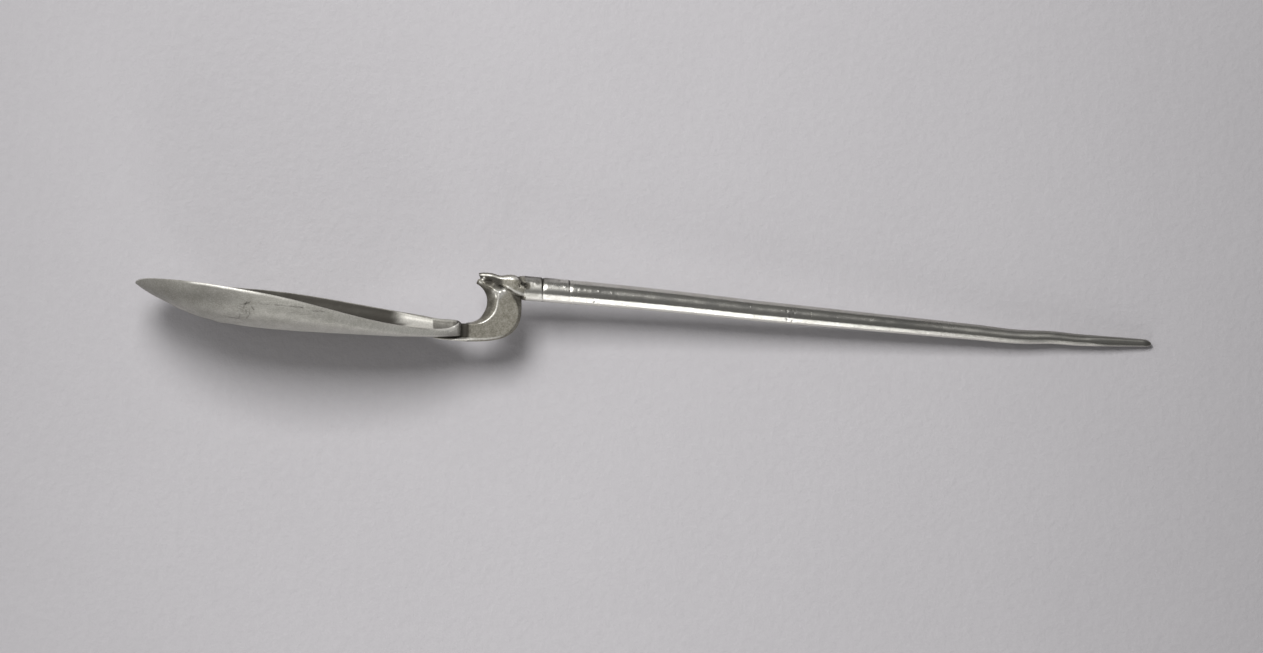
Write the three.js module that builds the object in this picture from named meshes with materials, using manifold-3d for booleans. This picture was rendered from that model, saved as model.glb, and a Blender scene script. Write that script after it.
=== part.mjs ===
// A silver spoon with a deep pear-shaped bowl, a cast offset in the form of a beast's neck and head,
// and a round stem that tapers to a point. All sizes are in millimetres.
// The spoon stands as it does on a table: +X runs from the bowl's tip to the stem's point, +Z is up,
// and it rests on the flat foot under the offset and on the underside of the stem's point.

import * as THREE from "three";
import { mergeVertices } from "three/addons/utils/BufferGeometryUtils.js";
import Module from "manifold-3d";

// Bowl, hammered from sheet
const bowlLength = 57.1;
const bowlWidth = 26.4;
const bowlWall = 0.95;
const rimThickness = 0.6;
const widestAt = 21.7; // from the tip
const heelWidth = 4.8;
const heelRounding = 1.6;
const tipHeight = 10.6; // rim of the tip above the table
const tipEdge = 1.0; // depth of the upright edge at the very tip
const keelRise = 1.95; // rise of the straight part of the keel towards the tip
const heelRimHeight = 3.05;
const rimSwell = 0.55; // the rim stands this much over an even slope halfway along
const heelLip = 0.35; // the rim turns up a little where it meets the offset
const tipRoll = -3; // degrees that the hand-made rim leans across its width
const heelRoll = 10;

// Offset, cast in one with its tongue, neck and head
const heelGap = 1.0; // from the bowl's heel to the front of the arm, filled with solder
const tongueLength = 5.9;
const tongueThickness = 0.65;
const tongueWidth = 3.4;
const tongueTipWidth = 0.7;
const keelClearance = 0.2; // the bowl's keel lies this far above the tongue
const armHeight = 3.2;
const mouthRadius = 3.7; // of the hollow of the neck
const neckDepth = 6.2; // from that hollow to the back of the neck
const neckThickness = 4.0; // across the flat cheeks
const innerEdge = 1.5; // thickness left along the hollow, inside the bevel
const outerEdge = 2.2; // thickness left along the back
const innerBevel = 1.6;
const outerBevel = 1.0;
const topBevel = 1.4; // both bevels widen by this much where the neck runs in under the head
const cornerPower = 2.75; // how squarely the back turns into the foot
const footCut = 0.15; // filed off to make the foot flat
const headLength = 7.85;
const mouthLength = 0.95;
const jawLength = 0.65; // of the lower jaw beyond the corner of the mouth
const jawGap = 0.45;
const snoutWidth = 1.7;
const snoutDrop = 0.5; // the snout's end lies this far under the line of the stem's top
const browWidth = 3.0;
const saddleDip = 0.25; // dip of the head's top between brow and skull
const cheekDrop = 1.1; // the head's underside starts this far under the stem's axis
const cheekSlope = 0.38; // and rises at this rate towards the snout

// Stem, drawn out and filed
const stemLength = 110.05;
const stemDiameter = 4.3;
const bendDiameter = 2.75;
const pointDiameter = 2.0;
const endDiameter = 1.25;
const bendAt = 80.2; // from the stem's shoulder
const pointLength = 10.7;
const endRounding = 1.4;
const stemHeight = 9.35; // axis above the table at the shoulder
const bendHeight = 2.2;
const archHeight = 0.18; // the stem arches this much between its shoulder and its middle
const landingLength = 17; // from the bend to where the stem touches the table
const tenonDiameter = 1.6;
const tenonLength = 2.0;
const tenonClearance = 0.3;
const firstGrooveAt = 3.3; // from the shoulder
const secondGrooveAt = 8.0;
const grooveWidth = 0.7;
const firstGrooveDepth = 0.25;
const secondGrooveDepth = 0.12;

// Solder
const seamThickness = 0.2;
const seamInset = 0.12;
const fillHeight = 1.9;
const fillWidth = 2.6;
const fillClearance = 0.3;

// Smoothness
const bowlStations = 34;
const bowlSteps = 22;
const neckStations = 26;
const headStations = 16;
const headSteps = 14;
const stemStations = 30;
const stemSides = 24;

const overallLength =
  bowlLength + heelGap + mouthRadius + neckDepth + seamThickness + stemLength;
const tip = -overallLength / 2;
const heel = tip + bowlLength;
const armFront = heel + heelGap;
const hollow = { x: armFront, z: armHeight + mouthRadius }; // centre of the neck's hollow
const neckBack = hollow.x + mouthRadius + neckDepth;
const shoulder = neckBack + seamThickness;
const stemSlope = (stemHeight - bendHeight) / bendAt;
const mouthCorner = neckBack - headLength + mouthLength;

const wasm = await Module();
wasm.setup();

const { clamp, degToRad, lerp, smoothstep } = THREE.MathUtils;
const signedPower = (value, power) => Math.sign(value) * Math.abs(value) ** power;

function bufferGeometry(positions, index) {
  const geometry = new THREE.BufferGeometry();
  geometry.setAttribute("position", new THREE.Float32BufferAttribute(positions, 3));
  geometry.setIndex(index);
  return geometry;
}

// A closed body through rings of equal count, each end ring closed by a fan round its middle.
function loft(rings) {
  const count = rings[0].length;
  const positions = rings.flat(2);
  const index = [];
  for (let i = 0; i < rings.length - 1; i++) {
    for (let j = 0; j < count; j++) {
      const a = i * count + j;
      const b = i * count + ((j + 1) % count);
      index.push(a, b, b + count, a, b + count, a + count);
    }
  }
  const addCap = (i, turned) => {
    const middle = positions.length / 3;
    for (let k = 0; k < 3; k++) {
      positions.push(rings[i].reduce((sum, point) => sum + point[k], 0) / count);
    }
    for (let j = 0; j < count; j++) {
      const a = i * count + j;
      const b = i * count + ((j + 1) % count);
      index.push(...(turned ? [middle, b, a] : [middle, a, b]));
    }
  };
  addCap(0, true);
  addCap(rings.length - 1, false);
  return bufferGeometry(positions, index);
}

function toSolid(geometry) {
  const bare = geometry.clone();
  bare.deleteAttribute("normal");
  bare.deleteAttribute("uv");
  const merged = mergeVertices(bare, 1e-5);
  return new wasm.Manifold(
    new wasm.Mesh({
      numProp: 3,
      vertProperties: merged.attributes.position.array,
      triVerts: new Uint32Array(merged.index.array),
    }),
  );
}

function fromSolid(solid) {
  const mesh = solid.getMesh();
  return bufferGeometry(Array.from(mesh.vertProperties), Array.from(mesh.triVerts));
}

// A round ring of points in the plane at x. It is squarish where power is over 2.
function ringAt(x, z, radius, power = 2) {
  return Array.from({ length: stemSides }, (_, i) => {
    const angle = (2 * Math.PI * (i + 0.5)) / stemSides;
    const y = radius * signedPower(Math.cos(angle), 2 / power);
    const up = radius * signedPower(Math.sin(angle), 2 / power);
    return [x, y, z + up];
  });
}

function pin(fromX, toX, z, radius) {
  return toSolid(loft([ringAt(fromX, z, radius), ringAt(toX, z, radius)]));
}

// Height of the bowl's rim at a distance from the tip: a long slope eased at both ends, a little full
// in the middle, and a lip at the heel.
function rimHeight(along) {
  const share = clamp(along / bowlLength, 0, 1);
  const slope = lerp(tipHeight, heelRimHeight, smoothstep(share, 0, 1));
  const swell = rimSwell * (4 * share * (1 - share)) ** 3;
  return slope + swell + heelLip * smoothstep(share, 0.95, 1);
}

// Height of the keel: a steep nose that runs out into a straight line, level over the tongue.
function keelHeight(along) {
  const left = Math.max(0, 1 - along / (0.8 * bowlLength));
  const heelKeel = tongueThickness + keelClearance;
  const nose = tipHeight - tipEdge - heelKeel - keelRise;
  return heelKeel + keelRise * left + nose * left ** 5;
}

// Half of the bowl's width: an ellipse at the tip, a pear's taper to the heel, and a round heel.
function halfWidth(along) {
  if (along < widestAt) {
    return (bowlWidth / 2) * Math.sqrt(Math.max(0, 1 - (1 - along / widestAt) ** 2));
  }
  const taper = 1 - ((along - widestAt) / (bowlLength - widestAt)) ** 2;
  const end = clamp((along - bowlLength + heelRounding) / heelRounding, 0, 1);
  return lerp(heelWidth / 2, bowlWidth / 2, taper) * Math.sqrt(1 - end ** 2);
}

function rollAt(along) {
  const share = clamp((along / bowlLength - 0.2) / 0.8, 0, 1);
  return Math.tan(degToRad(lerp(tipRoll, heelRoll, share ** 1.7)));
}

// Point of the plan outline at a share of the length, drawn in by the rim's thickness if asked.
function outlinePoint(share, inset) {
  const at = (t) => {
    const along = (bowlLength * (1 - Math.cos(Math.PI * clamp(t, 0, 1)))) / 2;
    return new THREE.Vector2(along, halfWidth(along));
  };
  const point = at(share);
  const before = at(Math.max(0, share - 1e-4));
  const after = at(Math.min(1, share + 1e-4));
  const forward = after.sub(before).normalize();
  return new THREE.Vector2(point.x + forward.y * inset, point.y - forward.x * inset);
}

// One skin of the bowl as rows of points from the near rim, under the keel, to the far rim.
function bowlSkin(inset, wall) {
  const rows = [];
  for (let i = 0; i <= bowlStations; i++) {
    const { x: along, y: half } = outlinePoint(i / bowlStations, inset);
    const width = i === 0 || i === bowlStations ? 0 : Math.max(half, 0.01);
    const rim = rimHeight(along);
    const depth = rim - keelHeight(along) - wall;
    const row = [];
    for (let j = 0; j <= bowlSteps; j++) {
      const angle = (Math.PI * j) / bowlSteps;
      const y = -width * signedPower(Math.cos(angle), 0.86);
      const z = rim - depth * Math.sin(angle) ** 0.86;
      row.push([tip + along, y, z + y * rollAt(along)]);
    }
    rows.push(row);
  }
  return rows;
}

// The outer and inner skins joined along the rim. Tip and heel close on themselves.
function bowl() {
  const outer = bowlSkin(0, 0);
  const inner = bowlSkin(rimThickness, bowlWall);
  const across = bowlSteps + 1;
  const innerStart = outer.length * across;
  const index = [];
  const quad = (a, b, c, d) => index.push(a, c, b, a, d, c);
  for (let i = 0; i < bowlStations; i++) {
    const row = i * across;
    for (let j = 0; j < bowlSteps; j++) {
      const a = row + j;
      quad(a, a + across, a + across + 1, a + 1);
      quad(innerStart + a, innerStart + a + 1, innerStart + a + across + 1, innerStart + a + across);
    }
    const far = row + bowlSteps;
    quad(row, innerStart + row, innerStart + row + across, row + across);
    quad(far, far + across, innerStart + far + across, innerStart + far);
  }
  return fromSolid(toSolid(bufferGeometry([outer, inner].flat(3), index)));
}

// The thin tongue under the bowl's heel, flat below, tapering in width and thickness to its tip.
function tongue() {
  const section = (x, width, height) => [
    [x, -width / 2, -footCut],
    [x, width / 2, -footCut],
    [x, width / 2, height],
    [x, -width / 2, height],
  ];
  const fullFrom = armFront - heelGap;
  return toSolid(
    loft([
      section(armFront - tongueLength, tongueTipWidth, tongueThickness * 0.4),
      section(fullFrom, tongueWidth, tongueThickness),
      section(armFront + mouthRadius / 2, tongueWidth, tongueThickness),
    ]),
  );
}

const headUnderside = (x) => stemHeight - cheekDrop + cheekSlope * (neckBack - x);

// Distance from the hollow's centre, at an angle, to the outside of the neck: the foot below and the
// back behind, with a rounded corner between them, and the head above.
function neckReach(angle) {
  const up = Math.sin(angle);
  const along = Math.cos(angle);
  const toFoot = up < 0 ? (hollow.z + footCut) / -up : Infinity;
  const toBack = along > 1e-6 ? (neckBack - hollow.x) / along : Infinity;
  const outside = (toFoot ** -cornerPower + toBack ** -cornerPower) ** (-1 / cornerPower);
  const rise = up + cheekSlope * along;
  const toHead = rise > 0 ? (headUnderside(hollow.x) - hollow.z) / rise : Infinity;
  return { outside, toHead };
}

// The neck, as bevelled sections on rays from the centre of its hollow, from the arm to the lower jaw.
function neck() {
  const cornerAngle = Math.atan2(headUnderside(mouthCorner) - hollow.z, mouthCorner - hollow.x);
  const jawAngle = cornerAngle + jawLength / (mouthRadius + jawGap);
  const startAngle = -Math.PI / 2;
  const rings = [];
  for (let i = 0; i <= neckStations; i++) {
    const angle = lerp(startAngle, jawAngle, i / neckStations);
    const { outside, toHead } = neckReach(angle);
    const jawShare = clamp((angle - cornerAngle) / (jawAngle - cornerAngle), 0, 1);
    const bite = 0.3 * (1 - smoothstep(angle, cornerAngle - 0.3, cornerAngle));
    const reach = Math.min(outside, toHead + bite - jawGap * jawShare);
    const widening = topBevel * smoothstep(angle, 0, 0.35);
    const inner = innerBevel * lerp(0.3, 1, smoothstep(angle, -1.3, -0.35)) + widening;
    const outer = outerBevel * lerp(0.4, 1, smoothstep(angle, -0.7, -0.25)) + widening;
    const fit = Math.min(1, (0.96 * (reach - mouthRadius)) / (inner + outer));
    const half = (edge) => lerp(edge, neckThickness, fit) / 2;
    const point = (distance, y) => [
      hollow.x + distance * Math.cos(angle),
      y,
      hollow.z + distance * Math.sin(angle),
    ];
    const innerCrease = mouthRadius + inner * fit;
    const outerCrease = reach - outer * fit;
    const face = half((innerEdge + outerEdge) / 2);
    rings.push([
      point(mouthRadius, -innerEdge / 2),
      point(innerCrease, -face),
      point(outerCrease, -face),
      point(reach, -outerEdge / 2),
      point(reach, outerEdge / 2),
      point(outerCrease, face),
      point(innerCrease, face),
      point(mouthRadius, innerEdge / 2),
    ]);
  }
  return toSolid(loft(rings));
}

// The head, as domed sections from the snout to the stem, flat below where it lies on the neck.
function head() {
  const rings = [];
  for (let i = 0; i <= headStations; i++) {
    const share = 1 - Math.cos((Math.PI / 2) * (i / headStations)); // closer together at the snout
    const x = neckBack - headLength * (1 - share);
    const saddle = Math.exp(-(((share - 0.5) / 0.13) ** 2));
    const snout = (1 - smoothstep(share, 0, 0.16)) ** 1.5;
    const top = stemHeight + stemDiameter / 2 + stemSlope * (neckBack - x) - saddleDip * saddle;
    const crown = top - snoutDrop * snout;
    const open = 0.4 * Math.max(0, mouthCorner - x);
    const bottom = headUnderside(x) + open;
    const half =
      share < 0.3
        ? lerp(snoutWidth, browWidth, smoothstep(share, 0, 0.3)) / 2
        : lerp(browWidth, stemDiameter, smoothstep(share, 0.35, 0.85)) / 2 - 0.12 * saddle;
    const radius = Math.min(stemDiameter / 2, 0.62 * (crown - bottom));
    const middle = crown - radius;
    const start = Math.asin(clamp((bottom - middle) / radius, -1, 1));
    const ring = [];
    for (let j = 0; j <= headSteps; j++) {
      const angle = lerp(start, Math.PI - start, j / headSteps);
      ring.push([x, half * Math.cos(angle), middle + radius * Math.sin(angle)]);
    }
    rings.push(ring);
  }
  return toSolid(loft(rings));
}

// Tongue, neck and head in one casting, filed flat at the foot and drilled for the stem's tenon.
function offset() {
  const below = new THREE.BoxGeometry(4 * headLength + 2 * tongueLength, 2 * neckThickness, 2);
  below.translate(hollow.x, 0, -1);
  const drillDepth = tenonLength + tenonClearance;
  const drill = pin(
    neckBack - drillDepth,
    neckBack + 1,
    stemHeight,
    tenonDiameter / 2 + tenonClearance,
  );
  return fromSolid(
    tongue().add(neck()).add(head()).subtract(toSolid(below)).subtract(drill),
  );
}

// Half of the stem's thickness at a distance from its shoulder, with both turned grooves.
function stemRadius(along) {
  const pointFrom = stemLength - pointLength;
  let diameter;
  if (along < bendAt) diameter = lerp(stemDiameter, bendDiameter, (along / bendAt) ** 1.3);
  else if (along < pointFrom) {
    diameter = lerp(bendDiameter, pointDiameter, (along - bendAt) / (pointFrom - bendAt));
  } else diameter = lerp(pointDiameter, endDiameter, (along - pointFrom) / pointLength);
  const end = clamp((along - stemLength + endRounding) / endRounding, 0, 1);
  const groove = (at, depth) =>
    depth * Math.max(0, 1 - Math.abs(along - at) / (grooveWidth / 2));
  const cut = groove(firstGrooveAt, firstGrooveDepth) + groove(secondGrooveAt, secondGrooveDepth);
  return (diameter / 2) * Math.sqrt(1 - 0.93 * end ** 2) - cut;
}

// Height of the stem's axis: a slope with a slight arch in its first half as far as the bend, then
// eased down until the underside lies flat.
function stemAxis(along) {
  if (along < bendAt) {
    const arch = archHeight * Math.sin(Math.PI * Math.min(1, (2 * along) / bendAt));
    return stemHeight - stemSlope * along + arch;
  }
  const left = Math.max(0, 1 - (along - bendAt) / landingLength);
  const underside = (bendHeight - bendDiameter / 2) * left ** 2;
  const end = clamp((along - stemLength + endRounding) / endRounding, 0, 1);
  const lift = (endDiameter / 2) * (1 - Math.sqrt(1 - 0.93 * end ** 2)) * 0.6;
  return underside + stemRadius(along) + lift;
}

// The stem with its tenon: rings along the axis, squarer where the point is filed.
function stem() {
  const stops = [];
  for (let i = 0; i <= stemStations; i++) {
    stops.push((i / stemStations) * (stemLength - endRounding));
  }
  for (const at of [firstGrooveAt, secondGrooveAt]) {
    stops.push(at - grooveWidth / 2, at, at + grooveWidth / 2);
  }
  for (const share of [0.4, 0.7, 0.9, 1]) {
    stops.push(stemLength - endRounding * (1 - share));
  }
  stops.push(bendAt, stemLength - pointLength);
  stops.sort((a, b) => a - b);
  const distinct = stops.filter((stop, i) => i === 0 || stop - stops[i - 1] > 0.05);
  const rings = distinct.map((along) => {
    const filed = smoothstep(along, stemLength - pointLength - 1, stemLength - pointLength + 3);
    return ringAt(shoulder + along, stemAxis(along), stemRadius(along), lerp(2, 3, filed));
  });
  const tenon = [neckBack - tenonLength, shoulder].map((x) =>
    ringAt(x, stemHeight, tenonDiameter / 2),
  );
  return fromSolid(toSolid(loft([...tenon, ...rings])));
}

// The seam between head and stem: a thin washer of solder round the tenon.
function seam() {
  const disc = pin(neckBack, shoulder, stemHeight, stemDiameter / 2 - seamInset);
  const bore = pin(neckBack - 1, shoulder + 1, stemHeight, tenonDiameter / 2 + tenonClearance);
  return fromSolid(disc.subtract(bore));
}

// The fill of solder in the corner between tongue and arm, hollow towards the bowl's heel.
function fill() {
  const length = heelGap - fillClearance;
  const base = tongueThickness;
  const shape = new THREE.Shape();
  shape.moveTo(armFront, base);
  shape.lineTo(armFront, base + fillHeight);
  shape.quadraticCurveTo(armFront - length * 0.35, base + fillHeight * 0.3, armFront - length, base);
  shape.closePath();
  const outline = shape.getPoints(6).slice(0, -1);
  const ring = (y) => outline.map((point) => [point.x, y, point.y]);
  return loft([ring(fillWidth / 2), ring(-fillWidth / 2)]);
}

function piece(name, geometry, color, roughness) {
  const material = new THREE.MeshStandardMaterial({ color, roughness, metalness: 1 });
  const mesh = new THREE.Mesh(geometry, material);
  mesh.name = name;
  return mesh;
}

const spoon = new THREE.Group();
spoon.add(
  piece("bowl", bowl(), 0xa9a7a2, 0.42),
  piece("head_offset", offset(), 0x9c9a92, 0.35),
  piece("stem", stem(), 0xb2b0ac, 0.22),
  piece("heel_solder", fill(), 0x6f6c64, 0.6),
  piece("stem_solder", seam(), 0x6f6c64, 0.6),
);

export default spoon;
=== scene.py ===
import math

import bmesh
import bpy
import numpy as np
from mathutils import Matrix, Vector


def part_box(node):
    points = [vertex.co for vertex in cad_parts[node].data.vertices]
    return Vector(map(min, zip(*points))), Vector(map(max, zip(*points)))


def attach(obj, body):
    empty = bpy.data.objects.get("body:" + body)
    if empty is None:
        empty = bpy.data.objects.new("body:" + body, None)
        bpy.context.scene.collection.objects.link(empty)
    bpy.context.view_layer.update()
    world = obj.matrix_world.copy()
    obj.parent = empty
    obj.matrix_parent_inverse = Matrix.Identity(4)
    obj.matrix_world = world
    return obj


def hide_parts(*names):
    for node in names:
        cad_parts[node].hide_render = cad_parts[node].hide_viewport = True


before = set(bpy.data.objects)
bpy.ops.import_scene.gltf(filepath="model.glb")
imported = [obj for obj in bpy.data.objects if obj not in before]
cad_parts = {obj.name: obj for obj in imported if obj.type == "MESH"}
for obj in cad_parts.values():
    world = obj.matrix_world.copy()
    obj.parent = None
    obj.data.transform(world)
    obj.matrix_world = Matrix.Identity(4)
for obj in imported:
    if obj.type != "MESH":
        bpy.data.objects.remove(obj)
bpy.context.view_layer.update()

MM = 0.001


# Bowl
# Silver sheet, hammered up over a stake into a deep pear shape and left thick along the keel.
# The rim is filed round and leans a little across its width, as hand-made bowls do. Its inside is
# dark with tarnish and painted shade, up to a painted highlight near the heel, which is soldered
# to the offset's tongue.

bowl_low, bowl_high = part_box("bowl")
bowl_tip = bowl_low.x
bowl_length = bowl_high.x - bowl_low.x
bowl_half_width = (bowl_high.y - bowl_low.y) / 2
widest_at = 21.7 * MM
heel_half_width = 2.4 * MM
heel_rounding = 1.0 * MM
wall = 0.95 * MM
rim_thickness = 0.6 * MM
rim_round = 0.14 * MM
heel_rim_round = 0.4 * MM
tip_height = 10.6 * MM
tip_depth = 1.0 * MM
heel_rim_height = 3.05 * MM
keel_over_tongue = 0.85 * MM
keel_rise = 1.95 * MM
boxiness = 0.68
hammer_dent = 0.009 * MM
stake_dent = 0.018 * MM
blow_depth = 0.32 * MM


def smooth(x, low, high):
    """0 below low, 1 above high, and a smooth S between them."""
    t = np.clip((x - low) / (high - low), 0, 1)
    return t * t * (3 - 2 * t)


def mix(a, b, share):
    """From a to b in proportion to the share."""
    return a + (b - a) * share


def hump(x, centre, reach):
    """A bell of height 1 at centre that fades out over the reach."""
    return np.exp(-(((x - centre) / reach) ** 2))


def rim_height(along):
    """A smooth fall from tip to heel, 0.55 mm fuller halfway, with a small lip at the heel, a nose
    that drops 0.6 mm as a cube over the first 3 mm, and two shallow dips."""
    share = np.clip(along / bowl_length, 0, 1)
    slope = tip_height + (heel_rim_height - tip_height) * smooth(share, 0, 1)
    swell = 0.55 * MM * (4 * share * (1 - share)) ** 3
    nose = 0.6 * MM * np.clip(1 - along / (3 * MM), 0, 1) ** 3
    dips = 0.3 * MM * hump(share, 0.27, 0.15) + 0.15 * MM * hump(share, 0.93, 0.035)
    return slope + swell - nose - dips + 0.35 * MM * smooth(share, 0.95, 1)


def keel_height(along):
    """A fifth-power nose that runs out into a straight line and lies level over the tongue, with
    the marks of two misplaced blows near the tip."""
    left = np.maximum(0, 1 - along / (0.8 * bowl_length))
    nose = tip_height - tip_depth - keel_over_tongue - keel_rise
    blows = 0.27 * MM * hump(along, 5.8 * MM, 3.4 * MM) - 0.1 * MM * hump(along, 7.2 * MM, 0.7 * MM)
    blows = blows - 0.13 * MM * hump(along, 14.8 * MM, 0.9 * MM)
    return keel_over_tongue + keel_rise * left + nose * left**5 + blows


def half_width(along):
    """An ellipse from the tip to the widest place, then a parabola's taper and a round heel."""
    front = np.sqrt(np.maximum(0, 1 - (1 - along / widest_at) ** 2)) * bowl_half_width
    taper = 1 - ((along - widest_at) / (bowl_length - widest_at)) ** 2
    end = np.clip((along - bowl_length + heel_rounding) / heel_rounding, 0, 1)
    back = heel_half_width + (bowl_half_width - heel_half_width) * taper
    return np.where(along < widest_at, front, back * np.sqrt(1 - end**2))


def roll_slope(along):
    """Lean of the rim across the bowl: 3.3 degrees one way for the first fifth, then growing to 10
    the other way at the heel as a power of 1.35, and most of it gone in the last 2 mm."""
    share = np.clip(along / bowl_length, 0, 1)
    lean = np.tan(np.radians(-3.3 + 19 * np.maximum(0, share - 0.2) ** 1.35))
    return lean * (1 - 0.6 * smooth(share, 0.955, 1))


def boxy(angle, power):
    """A superellipse: cosine and sine of the angle, each raised to the power with its sign kept."""
    cosine = np.sign(np.cos(angle)) * np.abs(np.cos(angle)) ** power
    sine = np.sign(np.sin(angle)) * np.abs(np.sin(angle)) ** power
    return cosine, sine


def bowl_skin(row_at, across, inset, thickness, drop):
    """Rows of points from the near rim under the keel to the far rim. Each row is half a boxy oval
    on a plan outline moved in along its normal. The lean fades towards the keel as the cosine
    squared."""
    half = half_width(row_at)
    step = np.stack([np.gradient(row_at), np.gradient(half)])
    step /= np.linalg.norm(step, axis=0)
    along = row_at + step[1] * inset
    half = np.maximum(half - step[0] * inset, 0)
    half[[0, -1]] = 0
    along[0] = inset
    along[-1] = bowl_length - inset
    rim = rim_height(along) - drop
    depth = rim - keel_height(along) - thickness
    angle = np.linspace(0, np.pi, across)
    cosine, sine = boxy(angle, boxiness)
    y = -half[:, None] * cosine
    z = rim[:, None] - depth[:, None] * sine
    z = z + y * roll_slope(along)[:, None] * np.cos(angle) ** 2
    x = np.broadcast_to((bowl_tip + along)[:, None], y.shape)
    return np.stack([x, y, z], axis=-1)


def mesh_from_grid(name, grid, cap_ends=False, open_sheet=False, **marks):
    """Quads over a grid of points, with poles and seams merged. Each row closes on itself, unless
    the grid is an open sheet. Marks are numbers kept on the points as attributes."""
    rows, across = grid.shape[:2]
    number = np.arange(rows * across).reshape(rows, across)
    beside = number[:, 1:] if open_sheet else np.roll(number, -1, axis=1)
    here = number[:, :-1] if open_sheet else number
    quads = np.stack([here[:-1], here[1:], beside[1:], beside[:-1]], axis=-1).reshape(-1, 4)
    faces = quads.tolist()
    if cap_ends:
        faces += [number[0].tolist(), number[-1][::-1].tolist()]
    mesh = bpy.data.meshes.new(name)
    mesh.from_pydata(grid.reshape(-1, 3).tolist(), [], faces)
    for key, values in marks.items():
        values = np.broadcast_to(values, (rows, across)).astype(np.float32)
        mesh.attributes.new(key, "FLOAT", "POINT").data.foreach_set("value", values.ravel())
    work = bmesh.new()
    work.from_mesh(mesh)
    bmesh.ops.remove_doubles(work, verts=work.verts, dist=2e-7)
    bmesh.ops.dissolve_degenerate(work, edges=work.edges, dist=1e-8)
    bmesh.ops.recalc_face_normals(work, faces=work.faces)
    work.to_mesh(mesh)
    work.free()
    mesh.shade_smooth()
    mesh.set_sharp_from_angle(angle=math.radians(50))
    piece = bpy.data.objects.new(name, mesh)
    bpy.context.scene.collection.objects.link(piece)
    return piece


def hammered(points, amount, seed):
    """Soft dents of one hammer, each a bell about 2 mm wide at a seeded place in plan."""
    count = 260
    draw = np.random.default_rng(seed)
    where = draw.uniform([0, -bowl_half_width], [bowl_length, bowl_half_width], (count, 2))
    size = draw.uniform(1.2, 2.6, count) * MM
    strength = draw.uniform(-1, 1, count)
    plan = points.reshape(-1, 3)
    total = np.zeros(len(plan))
    for (x, y), reach, force in zip(where, size, strength):
        apart = (plan[:, 0] - bowl_tip - x) ** 2 + (plan[:, 1] - y) ** 2
        total += force * np.exp(-apart / reach**2)
    return (amount * total).reshape(points.shape[:2])


def path_reach(x, z, path, wide):
    """1 on a path of straight pieces in the side view, fading as a bell over its width."""
    nearest = np.full(x.shape, 1e9)
    for (ax, az), (bx, bz) in zip(path[:-1], path[1:]):
        length = (bx - ax) ** 2 + (bz - az) ** 2
        share = np.clip(((x - ax) * (bx - ax) + (z - az) * (bz - az)) / length, 0, 1)
        apart = np.hypot(x - ax - share * (bx - ax), z - az - share * (bz - az))
        nearest = np.minimum(nearest, apart)
    return np.exp(-((nearest / wide) ** 2))


# Scratches and smudges on the near wall, drawn in the side view as place and height in mm.
# Each smudge also has its reach along and up.
bowl_scratches = [
    [(-70.33, 7.3), (-70.77, 6.42), (-70.89, 6.04)],
    [(-69.61, 7.54), (-69.9, 7.03)],
    [(-70.49, 5.78), (-70.33, 5.2)],
    [(-69.83, 5.78), (-69.75, 5.05), (-70.19, 4.24)],
    [(-69.46, 6.37), (-69.02, 5.79)],
    [(-71.37, 5.04), (-71.51, 4.46)],
    [(-71.86, 6.56), (-70.05, 7.03)],
    [(-68.0, 6.85), (-66.55, 6.81)],
    [(-65.52, 6.77), (-62.17, 6.43), (-60.42, 6.3)],
    [(-73.26, 4.34), (-71.51, 4.16)],
    [(-58.66, 5.67), (-56.62, 5.6)],
]
bowl_smudges = [
    (-73.47, 7.8, 0.28, 0.32), (-74.21, 7.5, 0.34, 0.18), (-73.7, 7.14, 0.3, 0.3),
    (-73.47, 6.75, 0.2, 0.34), (-74.28, 5.89, 0.2, 0.34), (-73.12, 6.26, 0.26, 0.2),
    (-72.24, 6.2, 0.32, 0.24), (-73.87, 6.5, 0.2, 0.4), (-85.12, 7.6, 0.24, 0.18),
    (-59.45, 5.56, 0.22, 0.15), (-60.63, 6.3, 0.2, 0.14),
]


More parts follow.
